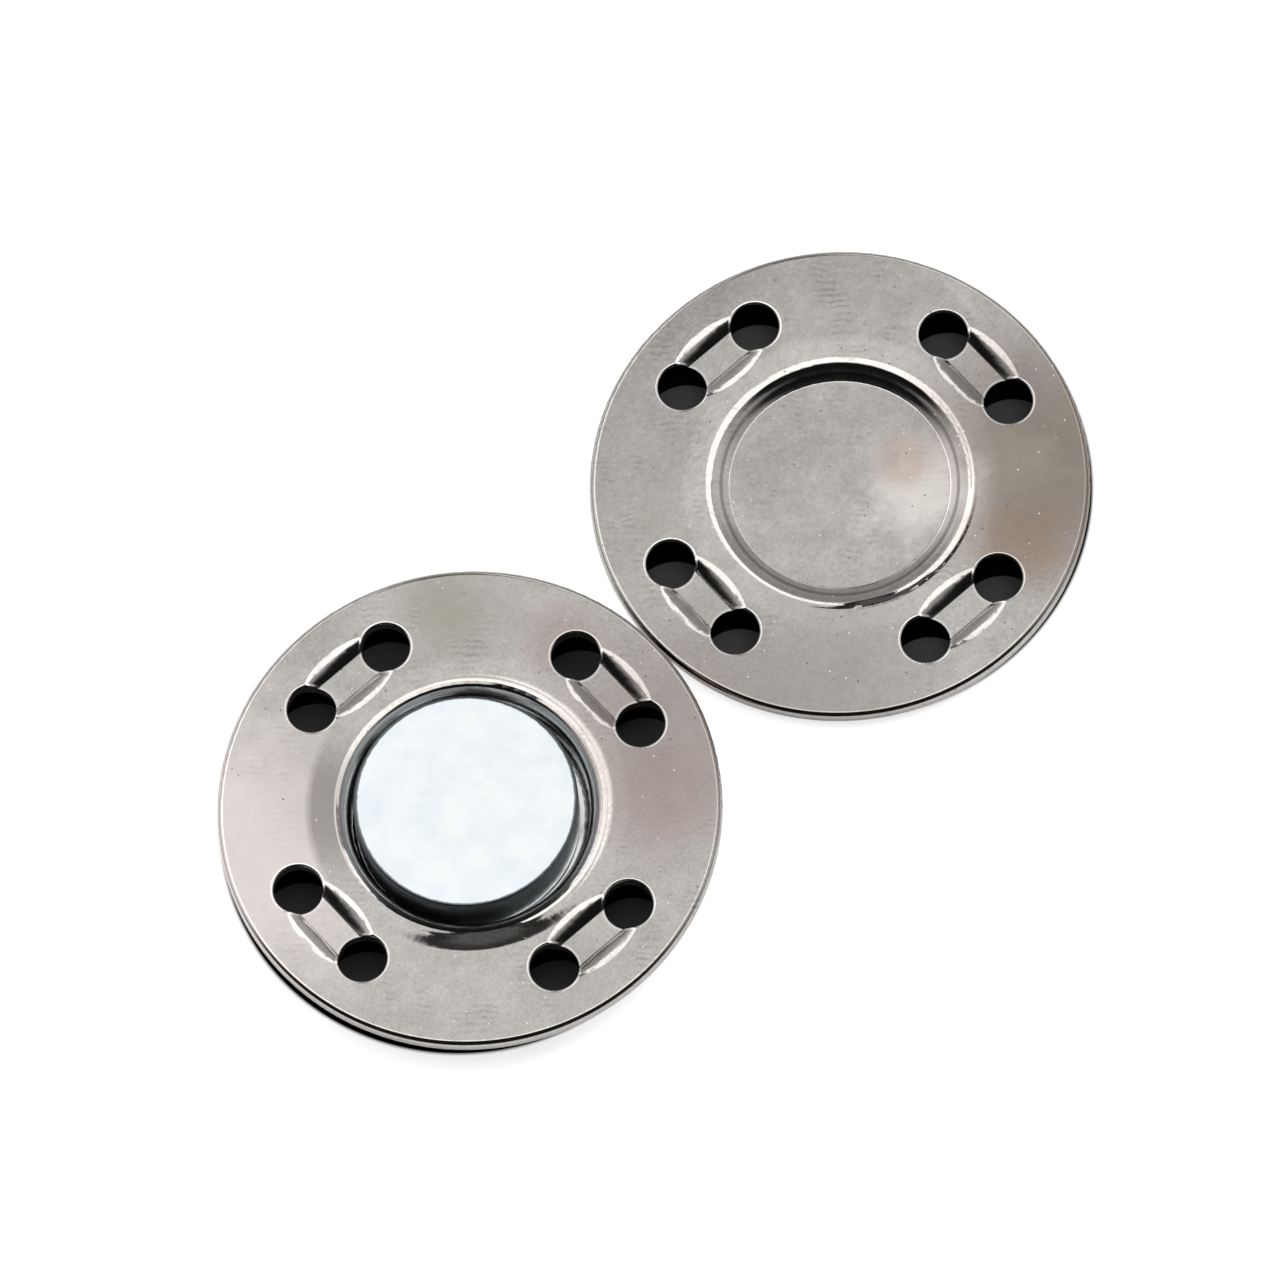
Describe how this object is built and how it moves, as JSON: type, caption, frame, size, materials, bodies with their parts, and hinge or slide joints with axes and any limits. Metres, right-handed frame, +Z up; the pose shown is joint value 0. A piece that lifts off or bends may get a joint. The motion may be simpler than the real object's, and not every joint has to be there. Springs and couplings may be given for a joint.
{
  "type": "snap fastener",
  "caption": "Sew-on magnetic snap fastener, open: a pressed steel disc with a round magnet in its cup, beside a matching dished disc, both with paired thread holes.",
  "frame": {"origin": "on the table that both halves lie on, at the middle of the overall box, midway between the two halves", "axes": "+Z up, out of the faces that meet when closed; +X from the magnet half to the catch half, along each half's line through two of its pairs of thread holes"},
  "size_m": [0.0362, 0.0186, 0.0025],
  "materials": {
    "nickel_plated_steel": "satin nickel plate, tumbled, with faint rubbing marks",
    "zinc_plated_magnet": "matt bright zinc plate"
  },
  "bodies": {
    "root": {"magnet_holder": "nickel_plated_steel", "magnet_disc": "zinc_plated_magnet", "catch_plate": "nickel_plated_steel"}
  },
  "joints": []
}
